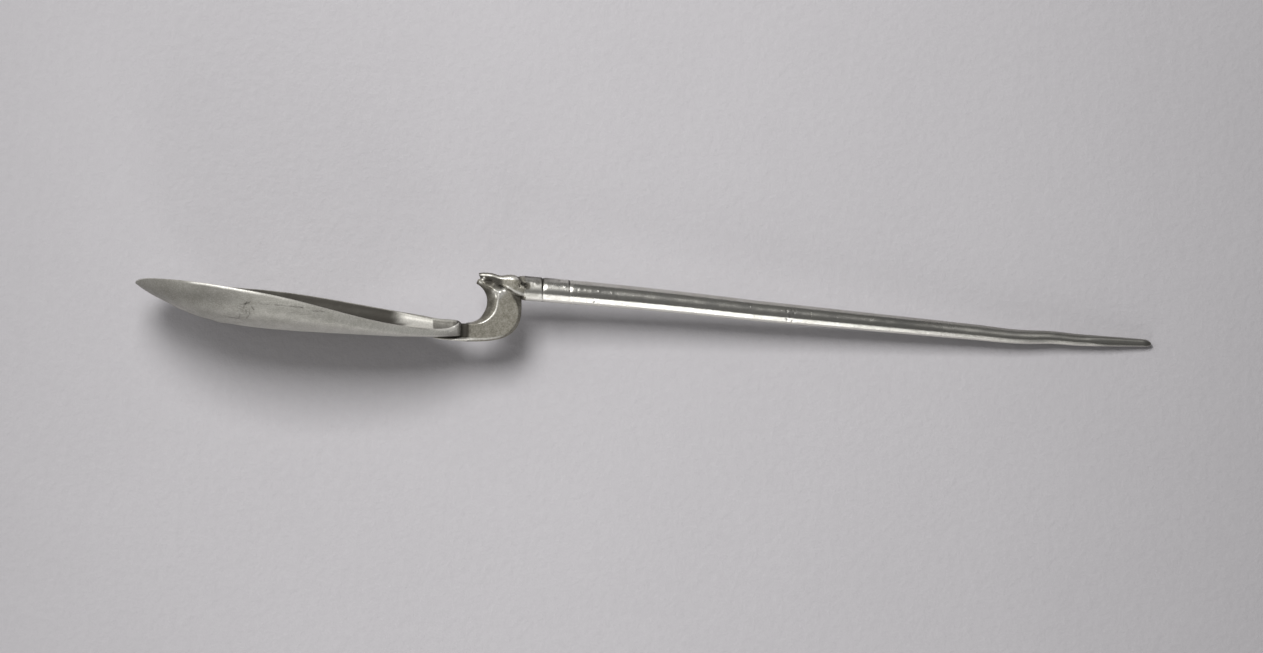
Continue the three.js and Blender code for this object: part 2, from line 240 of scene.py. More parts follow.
def bowl_marks(x, y, z, widths):
    """Tarnish with painted shade inside, darker towards the tip, painted shade at the heel, a
    darker far lip, smudges, scratches, a scored patch, and painted highlights inside near the heel,
    on the fold, on the belly and along the near rim, where some is wear. Sums and products of soft
    steps and bells over places in mm, held to parts of the rows: the outside, its near wall, the
    inside and the two lips."""
    outside, on_far, inside, on_near = np.repeat(np.eye(4), widths, axis=1)
    on_wall = outside * (y < 0)
    along = x - bowl_tip / MM
    under_rim = on_wall * (z[:, :1] - z)
    under_far_rim = z[:, widths[0] - 1 : widths[0]] - z
    end = smooth(along, bowl_length / MM - 0.85, bowl_length / MM - 0.4)
    # Painted highlight inside near the heel: tarnish taken away and polish painted on.
    uneven = along + 0.5 * np.sin(1.9 * y + 0.7) + 0.25 * np.sin(4.3 * y)
    edge = mix(55, 52.5, smooth(y, 0.5, 2))
    painted_sheen = smooth(uneven, 45.3, 49) * (1 - smooth(along, edge - 0.2 - 2 * (y < 1), edge))
    painted_sheen = painted_sheen * inside * mix(0.25, 1, smooth(y + 0.4 * np.sin(2 * along), -3.5, 1.5))

    # Tarnish, with painted shade inside and at the heel
    # Inside: tarnish with painted shade, darkest up by the far rim, lighter deep down and by the
    # heel.
    deep = smooth(under_far_rim - 0.3 * y * (y < 0), 2.8, 5.2)
    clouded = inside * (1 - 0.45 * smooth(along, 52.3, 52.5)) * mix(1, 0.4, deep)
    spot = 0.5 * inside * hump(x, -38.6, 0.3) * hump(z, 4.1, 0.25)
    # The far lip is darker. Painted shade on both lips at the heel's end, on the near wall beside
    # the gap there, and low on the near wall at the heel above the tongue.
    lips = 0.35 * on_far + 0.8 * end * (on_far + on_near)
    heel_shade = 0.9 * smooth(along, 51, 55.5) * (1 - smooth(z, 1.1, 2.3))
    heel_shade = heel_shade + 0.6 * end * smooth(z, 2.0, 2.7)
    dark = clouded - painted_sheen + spot + lips + on_wall * heel_shade
    for at_x, at_z, wide, tall in bowl_smudges:
        dark = dark + 0.42 * on_wall * hump(x, at_x, wide) * hump(z, at_z, tall)
    for scratch in bowl_scratches:
        dark = dark + 0.55 * on_wall * path_reach(x, z, scratch, 0.15)
    scored = 0.5 * on_wall * hump(x, -71.4, 2.6) * hump(z, 6.0, 1.6)
    faded = outside * (1 - smooth(along, 12, 27)) * mix(0.12, 0.54, smooth(z, 5.5, 8.5))
    faded = faded * mix(0.78, 1, smooth(along, 6, 12))

    # Wear and painted highlights
    # Painted highlights on the fold at the heel and on the belly, towards the heel and low down,
    # and along the near rim, partly wear and partly painted highlight.
    fold_highlight = smooth(along, 50, 54) * (1 - end) * on_near
    fold_highlight = fold_highlight + smooth(along, 54.6, 55.3) * (1 - end) * on_wall * hump(under_rim, 0.1, 0.2)
    painted_belly_light = 0.2 * smooth(along, 36, 50) + 0.3 * (1 - smooth(z, 1.5, 4.5)) * smooth(along, 12, 20)
    rim = smooth(along, 8, 10) * mix(1, 0.4, smooth(along, 19.5, 22)) * (1 - smooth(along, 24, 30))
    rim = rim * (on_near + on_wall * hump(under_rim, 0, 0.1))
    worn = 0.62 * painted_sheen + fold_highlight + on_wall * painted_belly_light + 0.8 * rim
    return dict(hollow=np.clip(dark, 0, 1), worn=worn, faded=faded, scored=scored)


def bowl_shell():
    """One closed loop a row: outer skin, round lip on the far side, inner skin, lip on the near.
    The lip drops by its rounding, fuller at the heel, as a circle does on both sides of its crest.
    A blow from inside, two bells multiplied, has pushed out the near rim at the heel, and its bump
    is painted bright and made glossier as a painted highlight."""
    row_at = bowl_length * (1 - np.cos(np.linspace(0, np.pi, 400))) / 2
    rounding = mix(rim_round, heel_rim_round, smooth(row_at, 46 * MM, 52 * MM))
    outer = bowl_skin(row_at, 150, 0, 0, rounding)
    inner = bowl_skin(row_at, 84, rim_thickness, wall, rounding)
    off_keel = smooth(outer[..., 2], 0.8 * MM, 4 * MM)
    outer[..., 2] += hammered(outer, hammer_dent, seed=4) * off_keel
    inner[..., 2] += hammered(inner, stake_dent, seed=9)
    crest = []
    for over in np.linspace(-0.9, 0.9, 6):
        drop = rounding * (1 - math.sqrt(1 - over * over))
        crest.append(bowl_skin(row_at, 3, rim_thickness * (over + 1) / 2, 0, drop))
    far_lip = np.stack([skin[:, -1] for skin in crest], axis=1)
    near_lip = np.stack([skin[:, 0] for skin in crest[::-1]], axis=1)
    loop = np.concatenate([outer, far_lip, inner[:, ::-1], near_lip], axis=1)
    widths = [part.shape[1] for part in (outer, far_lip, inner, near_lip)]
    x, y, z = (loop[..., axis] / MM for axis in range(3))
    marks = bowl_marks(x, y, z, widths)
    blow = hump(x, -33.2, 0.4) * hump(z, 3.1, 0.5) * (y < 0)
    loop[..., 1] -= blow_depth * blow
    # Painted highlight on the blow's bump.
    marks["worn"] = np.clip(marks["worn"] + blow, 0, 1)
    marks["matt"] = -0.7 * blow
    return mesh_from_grid("spoon_bowl", loop, **marks)


class Nodes:
    """A material's node tree, with short calls to add and join nodes."""

    def __init__(self, name):
        self.material = bpy.data.materials.new(name)
        self.material.use_nodes = True
        self.tree = self.material.node_tree
        self.shader = self.tree.nodes["Principled BSDF"]
        self.place = self.add("ShaderNodeTexCoord").outputs["Object"]

    def add(self, kind, **settings):
        node = self.tree.nodes.new(kind)
        for key, value in settings.items():
            setattr(node, key, value)
        return node

    def put(self, socket, value):
        if isinstance(value, bpy.types.NodeSocket):
            self.tree.links.new(value, socket)
        else:
            socket.default_value = value

    def mapped(self, turn=(0, 0, 0), scale=(1, 1, 1), move=(0, 0, 0)):
        """Object coordinates moved, turned by degrees and stretched."""
        node = self.add("ShaderNodeMapping", vector_type="POINT")
        self.put(node.inputs["Vector"], self.place)
        node.inputs["Location"].default_value = move
        node.inputs["Rotation"].default_value = [math.radians(a) for a in turn]
        node.inputs["Scale"].default_value = scale
        return node.outputs["Vector"]

    def noise(self, vector, scale, detail=3.0, rough=0.55):
        node = self.add("ShaderNodeTexNoise")
        self.put(node.inputs["Vector"], vector)
        node.inputs["Scale"].default_value = scale
        node.inputs["Detail"].default_value = detail
        node.inputs["Roughness"].default_value = rough
        return node.outputs["Fac"]

    def mark(self, name):
        """A number kept on the mesh's points."""
        return self.add("ShaderNodeAttribute", attribute_name=name).outputs["Fac"]

    def ramp(self, value, low, high, to_low=0.0, to_high=1.0):
        node = self.add("ShaderNodeMapRange", interpolation_type="SMOOTHSTEP")
        self.put(node.inputs["Value"], value)
        node.inputs["From Min"].default_value = low
        node.inputs["From Max"].default_value = high
        node.inputs["To Min"].default_value = to_low
        node.inputs["To Max"].default_value = to_high
        return node.outputs["Result"]

    def math(self, operation, a, b=0.0, c=0.0):
        node = self.add("ShaderNodeMath", operation=operation)
        for socket, value in zip(node.inputs, (a, b, c)):
            self.put(socket, value)
        return node.outputs["Value"]

    def mix(self, factor, a, b):
        node = self.add("ShaderNodeMix", data_type="RGBA")
        self.put(node.inputs["Factor"], factor)
        self.put(node.inputs["A"], a)
        self.put(node.inputs["B"], b)
        return node.outputs["Result"]

    def bump(self, height, strength, distance, normal=None):
        node = self.add("ShaderNodeBump")
        self.put(node.inputs["Height"], height)
        node.inputs["Strength"].default_value = strength
        node.inputs["Distance"].default_value = distance
        if normal is not None:
            self.put(node.inputs["Normal"], normal)
        return node.outputs["Normal"]

    def hairlines(self, turn, length, gap, seed, threshold):
        """A noise stretched along one direction and cut to its thin crests."""
        scale = (1 / (length * MM), 1 / (gap * MM), 1 / (gap * MM))
        vector = self.mapped(turn=turn, scale=scale, move=(seed, 2 * seed, 3 * seed))
        return self.ramp(self.noise(vector, 1.0, detail=1.0), threshold, threshold + 0.06)


def silver(name, bright, dark, roughness, metal, grain, brushed, pitted, clouded=420):
    """Old silver: grey metal under a thin matt patina in clouds, dark in its hollows and with
    painted shade, faded towards the tarnish tone where marked, and bright on its worn edges and
    with painted highlights, with a fine grain, short hairlines and pits."""
    nodes = Nodes(name)
    shader = nodes.shader
    clouds = nodes.noise(nodes.mapped(), clouded, detail=6.0, rough=0.68)
    specks = nodes.noise(nodes.mapped(), 3800, detail=3.0, rough=0.7)
    pits = nodes.ramp(nodes.noise(nodes.mapped(), 1500, detail=1.0), 0.72, 0.78)
    pits = nodes.math("MULTIPLY", pits, pitted)
    # The hollow mark holds tarnish and painted shade, the worn mark wear and painted highlights.
    hollow = nodes.mark("hollow")
    lines = nodes.math(
        "MAXIMUM",
        nodes.hairlines((0, 5, 8), 3.6, 0.14, 1.3, 0.6),
        nodes.hairlines((0, -42, 0), 1.1, 0.1, 4.1, 0.66),
    )
    scores = nodes.hairlines((0, 62, 0), 1.6, 0.2, 7.7, 0.52)
    scores = nodes.math("MULTIPLY", scores, nodes.mark("scored"))
    tone = nodes.math("MULTIPLY_ADD", specks, 0.7, nodes.math("MULTIPLY", clouds, 0.6))
    colour = nodes.mix(nodes.ramp(tone, 0.45, 0.83), (*bright, 1), (*dark, 1))
    polish_and_highlight = (0.86, 0.84, 0.78, 1)
    tarnish_and_shade_tone = (0.053, 0.048, 0.039, 1)
    colour = nodes.mix(nodes.math("MULTIPLY", lines, brushed), colour, polish_and_highlight)
    tarnish_and_shade = nodes.math("MULTIPLY_ADD", nodes.math("SUBTRACT", clouds, 0.5), 0.5, hollow)
    tarnish_and_shade = nodes.math("MULTIPLY", nodes.ramp(tarnish_and_shade, 0.02, 1.0), 0.97)
    tarnish_and_shade = nodes.math("MAXIMUM", tarnish_and_shade, nodes.math("MULTIPLY", scores, 0.6))
    tarnish_and_shade = nodes.math("MAXIMUM", tarnish_and_shade, nodes.math("MULTIPLY", pits, 0.7))
    colour = nodes.mix(nodes.math("MAXIMUM", tarnish_and_shade, nodes.mark("faded")), colour, tarnish_and_shade_tone)
    # Wear and painted highlights both turn the colour to polish.
    worn = nodes.math("MULTIPLY", nodes.mark("worn"), nodes.ramp(specks, 0.35, 0.6, 1.0, 0.75))
    colour = nodes.mix(worn, colour, polish_and_highlight)
    nodes.put(shader.inputs["Base Color"], colour)
    shader.inputs["Metallic"].default_value = metal
    rough = nodes.ramp(clouds, 0.3, 0.75, roughness - 0.04, roughness + 0.06)
    rough = nodes.math("MULTIPLY_ADD", tarnish_and_shade, 0.14, rough)
    rough = nodes.math("MULTIPLY_ADD", worn, -0.16, rough)
    rough = nodes.math("MULTIPLY_ADD", nodes.mark("matt"), 0.24, rough)
    rough = nodes.math("MULTIPLY_ADD", specks, 0.1, nodes.math("SUBTRACT", rough, 0.05))
    nodes.put(shader.inputs["Roughness"], rough)
    grained = nodes.bump(nodes.math("SUBTRACT", specks, pits), grain, 0.02 * MM)
    nodes.put(shader.inputs["Normal"], nodes.bump(lines, 0.5 * brushed, 0.01 * MM, grained))
    return nodes.material


bowl = bowl_shell()
bowl.data.materials.append(
    silver(
        "hammered_silver", bright=(0.53, 0.515, 0.472), dark=(0.37, 0.357, 0.318),
        roughness=0.56, metal=0.5, grain=0.35, brushed=0.2, pitted=0.2,
    )
)
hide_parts("bowl")
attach(bowl, "root")


# Offset with the beast's head
# One casting: the tongue under the bowl, the arm, the C-shaped neck with filed bevels, the lower
# jaw and the head with its eye, jaw hollow and jowl. Tarnish fills the bevels, edges are worn, and
# shade and highlights are painted on: shade under the brow, cheek and head and by the heel's gap,
# highlights on the creases, crest, cheek, chin, fork, tooth and the tongue's edge.

neck_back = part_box("head_offset")[1].x
arm_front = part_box("heel_solder")[1].x
arm_height = 3.2 * MM
mouth_radius = 3.7 * MM
hollow_x = arm_front
hollow_z = arm_height + mouth_radius
back_reach = 9.5 * MM
corner_power = 3.1
stem_height = 9.35 * MM
stem_radius = 2.15 * MM
head_length = 7.85 * MM
snout_length = 0.95 * MM
mouth_corner = neck_back - head_length + snout_length
axis_to_underside = 1.1 * MM
cheek_slope = 0.38
cheek_drop = 0.28 * MM
face_half = 2.0 * MM
jaw_tip_half = 0.95 * MM
jaw_gap = 0.2 * MM
neck_in_head = 0.3 * MM
upper_lip = 10.86 * MM
snout_half = 0.85 * MM
eye_half = 1.45 * MM
tongue_before_arm = 5.9 * MM
tongue_length = 7.7 * MM
tongue_half = 1.8 * MM
tongue_edge = 0.12 * MM
crease_easing = 2.5
crown_easing = 0.25

# Where the filed creases run: ray angle in degrees, then distance from the hollow's centre in mm.
inner_crease = [
    (-90, 3.8), (-75, 3.95), (-62, 4.18), (-54, 4.36), (-45, 4.56), (-36, 4.76), (-27, 4.93),
    (-19, 5.07), (-10, 5.15), (0, 5.2), (6, 5.34), (12, 5.52), (17, 5.75), (25, 5.2), (40, 4.6),
    (64, 4.2),
]
outer_crease = [
    (-90, 6.36), (-85, 6.37), (-70, 6.76), (-57, 7.48), (-49.5, 8.02), (-45.5, 8.33),
    (-37.6, 8.86), (-32.3, 9.0), (-27.9, 9.12), (-22.4, 9.2), (-18, 9.18), (-13.6, 9.1),
    (-8.2, 8.94), (-3.2, 8.7), (1.4, 8.36), (5.9, 7.98), (10, 7.73), (15, 7.6), (20, 7.5),
    (64, 7.5),
]
# The upper edge of the shadowed hollows from the eye to the jowl: place along the spoon and height.
brow_line = [
    (-28.3, 11.0), (-27.9, 11.0), (-26.94, 10.75), (-26.4, 10.4), (-25.88, 10.2), (-25.36, 10.08),
    (-24.92, 9.72), (-24.3, 9.36),
]
# The head's top line: distance from the back of the head, then height, both in mm.
crown_line = [
    (0, 11.5), (0.3, 11.46), (0.9, 11.48), (1.45, 11.56), (2.1, 11.67), (2.8, 11.66),
    (3.35, 11.54), (4.1, 11.49), (4.9, 11.72), (5.6, 11.95), (6.3, 11.99), (7.0, 12.02),
    (7.6, 11.98), (7.9, 11.9),
]


def underside(x):
    """Straight underside of the head, rising from under the stem's axis to the mouth, and a little
    lower along the cheek."""
    cheek = cheek_drop * smooth(x, neck_back - 3.0 * MM, neck_back - 1.6 * MM)
    return stem_height - axis_to_underside + cheek_slope * (neck_back - x) - cheek


def drawn_line(table, at, reach):
    """Straight between the table's points, then rounded by a running mean over the reach."""
    places, values = np.array(table).T
    around = np.linspace(-reach, reach, 9)
    return np.mean([np.interp(at + shift, places, values) for shift in around], axis=0) * MM


def soft_least(a, b, radius):
    """The lesser of two values, with a round hand-over where they come within the radius."""
    near = np.maximum(radius - np.abs(a - b), 0) / radius
    return np.minimum(a, b) - near * near * radius / 4


def neck_surface():
    """Rays from the hollow's centre out to the foot, the back or the head. Along each ray the half
    thickness rises over the inner bevel, stays level on the face and falls over the outer bevel.
    The corner of foot and back is rounded by a sum of powers of their distances."""
    corner = math.atan2(underside(mouth_corner) - hollow_z, mouth_corner - hollow_x)
    jaw_end = corner + 0.19
    angle = np.linspace(-np.pi / 2, jaw_end, 300)[:, None]
    ray = np.degrees(angle)
    up = np.sin(angle)
    along = np.cos(angle)
    to_foot = hollow_z / np.maximum(-up, 1e-6)
    to_back = back_reach / np.maximum(along, 1e-6)
    outside = (to_foot**-corner_power + to_back**-corner_power) ** (-1 / corner_power)
    rise = up + cheek_slope * along
    to_head = np.where(rise > 0.01, (underside(hollow_x) - hollow_z) / np.maximum(rise, 0.01), 1)
    jaw = smooth(angle, corner - 0.02, corner + 0.05)
    reach = np.minimum(outside, mix(to_head + neck_in_head, to_head - jaw_gap, jaw))
    tip_round = np.clip((angle - jaw_end + 0.1) / 0.1, 0, 1)
    reach = reach - 0.28 * MM * tip_round**2
    mouth = mouth_radius - 0.15 * MM * smooth(ray, -56, -30)
    inner = drawn_line(inner_crease, ray, crease_easing)
    outer = drawn_line(outer_crease, ray, crease_easing)
    distance = mouth + (reach - mouth) * np.linspace(0, 1, 70)
    jaw_half = mix(face_half, jaw_tip_half, smooth(angle, 0.5, corner + 0.05))
    inner_share = np.clip((distance - mouth) / (inner - mouth), 0, 1)
    rising = mix(0.36, 1, inner_share**0.8) * jaw_half
    bevel = np.maximum(0, distance - outer) * 1.05
    falling = jaw_half - bevel * np.minimum(1, 1.1 * MM / np.maximum(reach - outer, 1e-5))
    half = soft_least(soft_least(rising, jaw_half, 0.08 * MM), falling, 0.1 * MM)
    x = hollow_x + distance * along
    z = hollow_z + distance * up
    front_round = np.clip(1 - (x - hollow_x) / (0.45 * MM), 0, 1) ** 2
    half = half - 0.4 * MM * front_round * (up < 0)
    near = np.stack([x, -half, z], axis=-1)
    far = np.stack([x, half, z], axis=-1)
    return np.concatenate([near, far[:, ::-1]], axis=1)


def head_surface():
    """Box sections with rounded edges from a blunt snout to the stem, each a superellipse whose
    power falls from 4.5 on the face to a circle's 2 at the back."""
    share = 1 - np.cos(np.linspace(0, np.pi / 2, 160))[:, None]
    x = neck_back - head_length * (1 - share)
    crown = drawn_line(crown_line, (neck_back - x) / MM, crown_easing)
    bottom = soft_least(underside(x), upper_lip, 0.1 * MM)
    front = mix(snout_half, eye_half, smooth(share, 0, 0.28))
    rear = mix(eye_half, stem_radius, smooth(share, 0.38, 0.8))
    half = np.where(share < 0.33, front, rear)
    back = smooth(share, 0.8, 0.98)
    radius = np.minimum(stem_radius, mix(0.62, 0.68, back) * (crown - bottom))
    middle = crown - radius
    start = np.arcsin(np.clip((bottom - middle) / radius, -1, 1))
    around = np.linspace(0, 1, 80)
    power = 2 / mix(4.5, 2, smooth(share, 0.72, 1))
    cosine, sine = boxy(start + (np.pi - 2 * start) * around, power)
    low_edge = np.clip(1 - np.minimum(around, around[::-1]) / 0.07, 0, 1)
    y = (half - 0.2 * MM * (1 - back) * low_edge**2) * cosine
    z = middle + radius * sine
    slant = np.clip((11.55 * MM - z) / (0.7 * MM), 0, 1) * (1 - smooth(share, 0, 0.12))
    return np.stack([x + 0.4 * MM * slant, y, z], axis=-1)


def densified(corners, steps):
    """Corner rings filled with points along their straight sides."""
    following = np.roll(corners, -1, axis=1)
    share = np.arange(steps) / steps
    filled = corners[:, :, None] + (following - corners)[:, :, None] * share[:, None]
    return filled.reshape(corners.shape[0], -1, 3)


def tongue_surface():
    """A leaf against the bowl with thin edges. Its underside and its edges rise to the tip, its
    back is domed under the keel, and its root narrows inside the arm."""
    share = np.linspace(0, 1, 70)
    x = arm_front - tongue_before_arm + tongue_length * share
    reach = np.clip(share / 0.55, 0, 1)
    half = mix(0.2 * MM, tongue_half, np.sin(reach * np.pi / 2))
    half = half - 0.7 * MM * smooth(share, 0.77, 0.95)
    inset = half - tongue_edge
    low = drawn_line([(0, 0.52), (0.16, 0.26), (0.5, 0.13), (0.78, 0), (1.1, 0)], share, 0.05)
    edge = drawn_line([(0, 0.7), (0.16, 0.53), (0.3, 0.45), (0.5, 0.41), (1.1, 0.45)], share, 0.05)
    crown = mix(edge, keel_over_tongue, smooth(share, 0, 0.25))
    corners = [
        (-inset, low), (inset, low), (half, mix(low, edge, 0.4)), (half, mix(low, edge, 0.75)),
        (inset, edge), (0 * half, crown), (-inset, edge), (-half, mix(low, edge, 0.75)),
        (-half, mix(low, edge, 0.4)),
    ]
    rings = np.stack([np.stack([x, y, z], axis=-1) for y, z in corners], axis=1)
    return densified(rings, 5)


def cast_offset():
    """The three surfaces joined by a fine voxel skin, eased by a few rounds of smoothing."""
    parts = [
        mesh_from_grid("neck", neck_surface(), cap_ends=True),
        mesh_from_grid("head", head_surface(), cap_ends=True),
        mesh_from_grid("tongue", tongue_surface(), cap_ends=True),
    ]
    with bpy.context.temp_override(active_object=parts[0], selected_editable_objects=parts):
        bpy.ops.object.join()
    casting = parts[0]
    casting.name = "offset_casting"
    skin = casting.modifiers.new("skin", "REMESH")
    skin.mode = "VOXEL"
    skin.voxel_size = 0.065 * MM
    ease = casting.modifiers.new("ease", "SMOOTH")
    ease.factor = 0.5
    ease.iterations = 2
    graph = bpy.context.evaluated_depsgraph_get()
    result = bpy.data.meshes.new_from_object(casting.evaluated_get(graph))
    casting.modifiers.clear()
    casting.data = result
    result.shade_smooth()
    return casting


# The carved forms, drawn in the side view in mm: path and reach, then how deep each is cut and how
# dark and how worn it is. A negative depth stands proud, and negative tarnish or wear takes away.
# The darkness of eye, pouch and jowl is painted shade in the hollows under the brow, and the
# brightness of chin, fork and tooth is painted highlight.
carvings = dict(
    eye=([(-27.7, 10.6), (-27.2, 10.45)], 0.42, 0.16, 0.34, 0),
    pouch=([(-26.2, 9.75), (-25.2, 9.45)], 0.4, 0.13, 0.25, 0),
    jowl=([(-25.4, 9.9), (-25.0, 9.5), (-24.2, 9.25), (-22.4, 8.6)], 0.2, 0.2, 0.6, 0),
    chin=([(-28.85, 10.45), (-28.6, 10.25)], 0.18, 0, -0.5, 0.9),
    fork=([(-26.4, 8.87), (-25.54, 8.6), (-24.7, 8.93)], 0.35, -0.16, -1.2, 1.2),
    pocket=([(-26.05, 8.3), (-25.95, 7.9)], 0.15, 0.12, 0.4, 0),
    tooth=([(-28.2, 11.15), (-28.35, 10.75)], 0.16, -0.1, -1, 1),
    mouth=([(-28.9, 11.0), (-28.45, 11.15)], 0.15, 0.1, 0.9, 0),
    voids=([(-21.45, 10.22), (-20.9, 10.02), (-20.6, 10.0)], 0.27, 0.35, 2, -1),
    slit=([(-22.07, 10.12), (-21.93, 9.68)], 0.12, 0.08, 0.9, 0),
    nape=([(-22.2, 11.5), (-21.8, 11.0), (-21.45, 10.6)], 0.26, 0, 0.8, 0),
)
fork_stalk = [(-25.54, 8.6), (-25.65, 7.9)]
nape_depth = 0.16


def vertex_rows(mesh, kind):
    """The mesh's points or normals, one a row."""
    values = np.empty(len(mesh.vertices) * 3, np.float32)
    mesh.vertices.foreach_get(kind, values)
    return values.reshape(-1, 3).astype(float)


def neck_marks(points, x, z, above):
    """Tarnish on both bevels, deepened by painted shade on the outer bevel under the head, painted
    shade under the cheek and at the arm's front by the gap, darker low on the face, and wear and
    painted highlights on the creases, with a painted highlight under the fork. Soft steps and bells
    over the ray's angle and over the distance inside or outside of each crease, in mm."""
    from_hollow = np.hypot(points[:, 0] - hollow_x, points[:, 2] - hollow_z)
    ray = np.degrees(np.arctan2(points[:, 2] - hollow_z, points[:, 0] - hollow_x))
    inside = (drawn_line(inner_crease, ray, crease_easing) - from_hollow) / MM
    outside = (from_hollow - drawn_line(outer_crease, ray, crease_easing)) / MM
    on_neck = smooth(-above, -0.02, 0.08) * (ray > -91) * (x > -31.1)
    inner_bevel = mix(0.26, 0.62, smooth(inside, 0.3, 0.9)) * smooth(inside, 0, 0.2)
    inner_bevel = inner_bevel * smooth(ray, -86, -60) + 0.14 * (inside > 0) * smooth(ray, 14, 28)
    # The outer bevel's tarnish deepens into painted shade under the head.
    outer_bevel = smooth(outside, -0.1, 0.2) * mix(0.03, 0.3, smooth(ray, -24, -12))
    outer_bevel = outer_bevel * mix(1, 0.3, smooth(ray, 6, 18))
    # Painted shade under the cheek's overhang.
    cheek = 0.3 * smooth(ray, -12, 8) * smooth(x, -23.9, -23.0) * smooth(outside, -0.4, 0)
    face = smooth(-inside, 0, 0.3) * smooth(-outside, 0, 0.3)
    # Darker low on the face, and painted shade at the arm's front beside the heel's gap.
    low_face_and_gap_shade = 0.17 * face * (1 - smooth(ray, -70, -20)) + 0.7 * (1 - smooth(x, -31.2, -30.1))
    # Wear and painted highlights along the creases, and a painted highlight under the fork.
    inner_edge = hump(inside, 0, 0.13) * smooth(ray, -66, -58) * (ray < 13)
    outer_edge = 0.9 * hump(outside, 0, 0.14) * (1 - smooth(ray, -50, -38))
    fork_highlight = 1.1 * hump(x, -25.6, 0.75) * hump(z, 8.4, 0.5)
    dark = on_neck * (inner_bevel + outer_bevel + cheek + low_face_and_gap_shade)
    return dark, on_neck * (inner_edge + outer_edge + fork_highlight)


def head_marks(x, z, above, under_brow):
    """Darker on the snout and on its front, painted shade along the brow, and painted highlights
    along the head's crest and the cheek's lower edge. Soft steps and bells over heights above the
    underside, under the brow and under the crown, in mm."""
    under_crown = drawn_line(crown_line, neck_back / MM - x, crown_easing) / MM - z
    snout = 0.8 * smooth(-under_brow, -0.05, 0.2) * smooth(under_crown, 0.4, 0.6)
    snout = snout * (1 - smooth(x, -25.4, -24.3))
    front = 0.5 * (1 - smooth(x, -28.75, -28.5)) + 0.5 * (under_crown < 0.12) * (x < -25.5)
    # Painted shade along the brow.
    brow_shade = hump(under_brow, -0.02, 0.16) * smooth(x, -27.8, -27.2) * (1 - smooth(x, -25.2, -24.6))
    broad = smooth(x, -25, -24.4)
    # Painted highlights along the crest and the cheek's lower edge.
    crest = hump(under_crown, mix(0.34, 0.42, broad), mix(0.13, 0.2, broad))
    crest = crest * smooth(above, 0.3, 0.6) * mix(0.6, 1, broad) * (1 - smooth(x, -22.6, -22.0))
    cheek = hump(above, 0.22, 0.2) * mix(0.7, 1.1, smooth(x, -23.6, -22.4))
    cheek = cheek * smooth(x, -24.5, -24.0)
    dark = (above > 0) * (snout + front) + 0.4 * brow_shade
    return dark, 1.5 * crest + 1.2 * cheek


def carve(casting):
    """Moves the sides in or out across the width by the sum of the carved forms' bells, and the
    round back of the head in along its normals at the nape. How deep a place lies in tarnish and
    painted shade, and how bright it is worn or painted with highlights, are kept on the points."""
    mesh = casting.data
    points = vertex_rows(mesh, "co")
    normals = vertex_rows(mesh, "normal")
    x = points[:, 0] / MM
    z = points[:, 2] / MM
    above = z - underside(points[:, 0]) / MM - 0.08
    under_brow = drawn_line(brow_line, x, 0.1) / MM - z
    # Painted shade in the swath under the brow, which is also sunk a little.
    shaded_swath = smooth(under_brow, -0.12, 0.2) * (1 - smooth(under_brow, 0.65, 1.25))
    shaded_swath = shaded_swath * smooth(x, -28.2, -27.8) * (1 - smooth(x, -24.8, -24.3))
    bells = {name: path_reach(x, z, path, wide) for name, (path, wide, *_) in carvings.items()}
    bells["jowl"] *= 1 - smooth(above, -0.08, 0.06)
    bells["fork"] = np.maximum(bells["fork"], path_reach(x, z, fork_stalk, 0.36))
    # Painted highlight along the tongue's edge.
    tongue_edge_highlight = (1 - smooth(x, -31.1, -29.6)) * smooth(z, 0.12, 0.3) * (1 - smooth(z, 0.55, 0.7))
    sink = 0.15 * shaded_swath
    dark = 0.6 * shaded_swath
    worn = tongue_edge_highlight
    for name, (_, _, depth, darkened, brightened) in carvings.items():
        sink = sink + depth * bells[name]
        dark = dark + darkened * bells[name]
        worn = worn + brightened * bells[name]
    side = np.clip(points[:, 1] / (0.5 * MM), -1, 1)
    points[:, 1] -= side * sink * MM
    points -= normals * (nape_depth * MM * bells["nape"] * smooth(above, 0.6, 1.2))[:, None]
    points[:, 2] = np.maximum(points[:, 2], 0)
    mesh.vertices.foreach_set("co", points.astype(np.float32).ravel())
    neck_dark, neck_worn = neck_marks(points, x, z, above)
    head_dark, head_worn = head_marks(x, z, above, under_brow)
    for name, values in (
        ("hollow", dark + neck_dark + head_dark), ("worn", worn + neck_worn + head_worn),
    ):
        attribute = mesh.attributes.new(name, "FLOAT", "POINT")
        attribute.data.foreach_set("value", np.clip(values, 0, 1).astype(np.float32))
    mesh.update()


casting = cast_offset()
carve(casting)
casting.data.materials.clear()
casting.data.materials.append(
    silver(
        "cast_silver", bright=(0.38, 0.36, 0.31), dark=(0.19, 0.176, 0.138),
        roughness=0.5, metal=0.55, grain=0.6, brushed=0.03, pitted=0.5, clouded=1000,
    )
)
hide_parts("head_offset")
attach(casting, "root")


# Stem
# A round rod, drawn thinner towards its point, filed square over the last centimetre and polished.
# Two ring lines are cut near its shoulder, and centuries of use have left small dents and nicks.

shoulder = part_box("stem_solder")[1].x
stem_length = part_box("stem")[1].x - shoulder
bend_at = 80.2 * MM
bend_height = 2.2 * MM
stem_slope = (stem_height - bend_height) / bend_at
half_at_bend = 1.375 * MM
half_at_filing = 1.0 * MM
half_at_end = 0.625 * MM
point_length = 10.7 * MM
filed_from = stem_length - point_length
end_rounding = 1.4 * MM
end_lift = 0.375 * MM
first_ring = 3.05 * MM
second_ring = 7.75 * MM
near_side = -np.pi / 2
void_at = near_side + 0.3
far_void_at = -near_side - 0.2
flat_at = math.radians(-130)
flat_reach = math.radians(16)
# Where the painted sheen lies on the stem's underside.
sheen_at = math.radians(-152)


